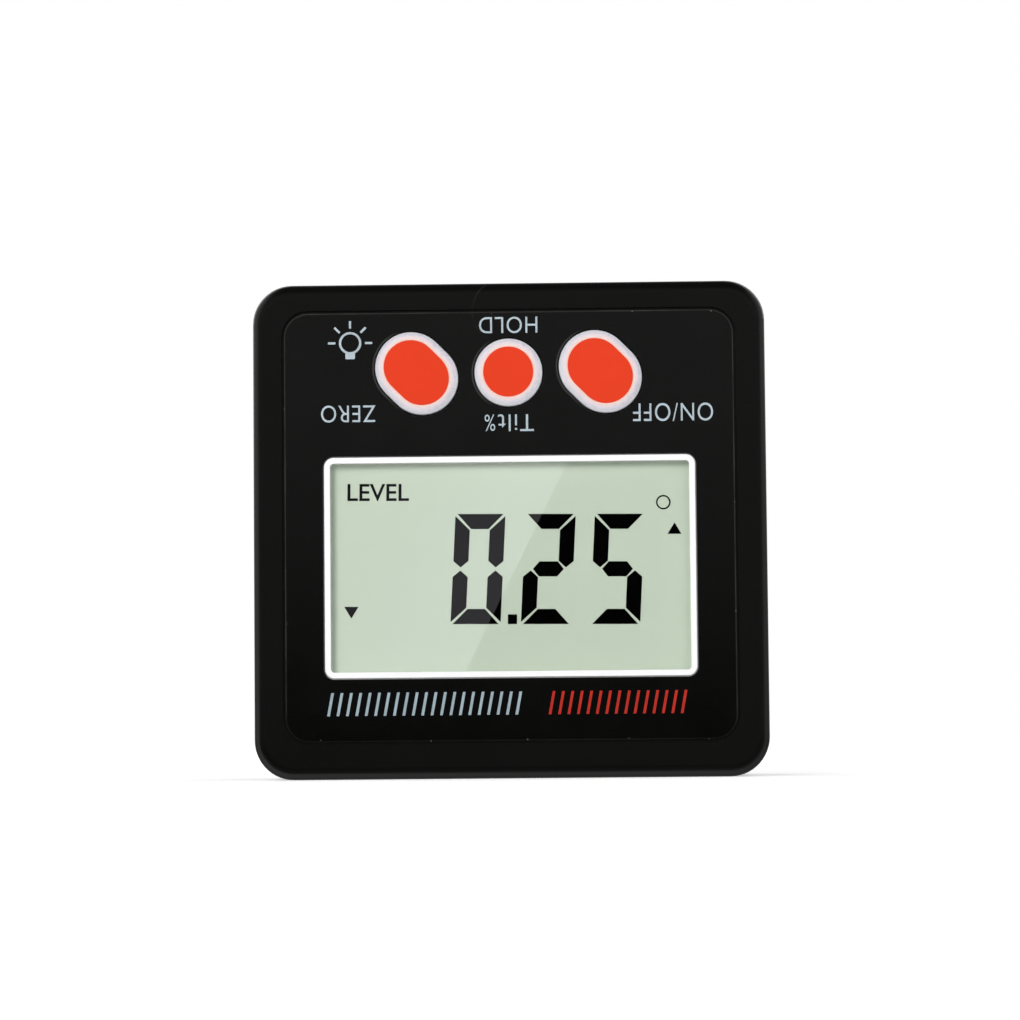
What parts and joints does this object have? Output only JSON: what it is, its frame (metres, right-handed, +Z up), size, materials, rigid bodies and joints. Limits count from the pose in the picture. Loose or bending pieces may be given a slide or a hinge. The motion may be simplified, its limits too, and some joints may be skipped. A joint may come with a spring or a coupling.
{
  "type": "digital angle gauge",
  "caption": "Square pocket tilt meter with a large display, a row of red push keys, magnets in its base and a hinged battery door at the back.",
  "frame": {"origin": "centre of the flat face that the gauge rests on", "axes": "+X to the right across the face, -Y out of the face, +Z up towards the magnetic base"},
  "size_m": [0.056, 0.0289, 0.054],
  "materials": {
    "body_plastic": "fine satin moulding",
    "cover_plastic": "fine satin moulding",
    "door_plastic": "fine satin moulding",
    "overlay_film": "printed film with a soft sheen",
    "white_plastic": "smooth moulding",
    "clear_lens": "clear and polished",
    "display_glass": "pale grey-green reflective display",
    "guide_plastic": "clear moulding",
    "lamp_resin": "resin",
    "contact_rubber": "striped elastomer",
    "board_laminate": "green resist",
    "chip_resin": "moulded resin",
    "chip_ceramic": "sintered",
    "plated_steel": "bright plating",
    "switch_steel": "pressed cover",
    "key_silicone": "translucent white",
    "key_red": "smooth, slightly satin",
    "plunger_plastic": "moulded",
    "cell_sleeve": "plain printed sleeve",
    "magnet_plating": "nickel plating"
  },
  "bodies": {
    "body": {"housing": "body_plastic", "front_overlay": "overlay_film", "display_bezel": "white_plastic", "display_lens": "clear_lens", "rear_cover": "cover_plastic", "cover_screws": "plated_steel", "upper_cell": "cell_sleeve", "lower_cell": "cell_sleeve", "left_magnet": "magnet_plating", "middle_magnet": "magnet_plating", "right_magnet": "magnet_plating", "light_guide": "guide_plastic", "backlight_led": "lamp_resin", "zebra_strip": "contact_rubber", "circuit_board": "board_laminate", "controller_chip": "chip_resin", "tilt_sensor": "chip_resin", "chip_parts": "chip_ceramic", "board_screws": "plated_steel", "zero_switch": "switch_steel", "hold_switch": "switch_steel", "power_switch": "switch_steel", "lcd_panel": "display_glass", "negative_plate": "plated_steel", "negative_spring": "plated_steel", "positive_plate": "plated_steel", "bridge_plate": "plated_steel", "bridge_spring": "plated_steel"},
    "battery_door": {"battery_door": "door_plastic"},
    "zero_key": {"zero_key": "key_silicone", "zero_cap": "key_red", "zero_plunger": "plunger_plastic"},
    "hold_key": {"hold_key": "key_silicone", "hold_cap": "key_red", "hold_plunger": "plunger_plastic"},
    "power_key": {"power_key": "key_silicone", "power_cap": "key_red", "power_plunger": "plunger_plastic"}
  },
  "joints": [
    {"name": "zero_press", "type": "slide", "parent": "body", "child": "zero_key", "axis": [0, 1, 0], "range_m": [0, 0.0005], "stiffness_N_per_m": 1000, "springref_m": -0.0005},
    {"name": "hold_press", "type": "slide", "parent": "body", "child": "hold_key", "axis": [0, 1, 0], "range_m": [0, 0.0005], "stiffness_N_per_m": 1000, "springref_m": -0.0005},
    {"name": "power_press", "type": "slide", "parent": "body", "child": "power_key", "axis": [0, 1, 0], "range_m": [0, 0.0005], "stiffness_N_per_m": 1000, "springref_m": -0.0005},
    {"name": "battery_door_hinge", "type": "hinge", "parent": "body", "child": "battery_door", "pos_m": [0, 0.0131, 0.03515], "axis": [1, 0, 0], "range_deg": [0, 90]}
  ]
}
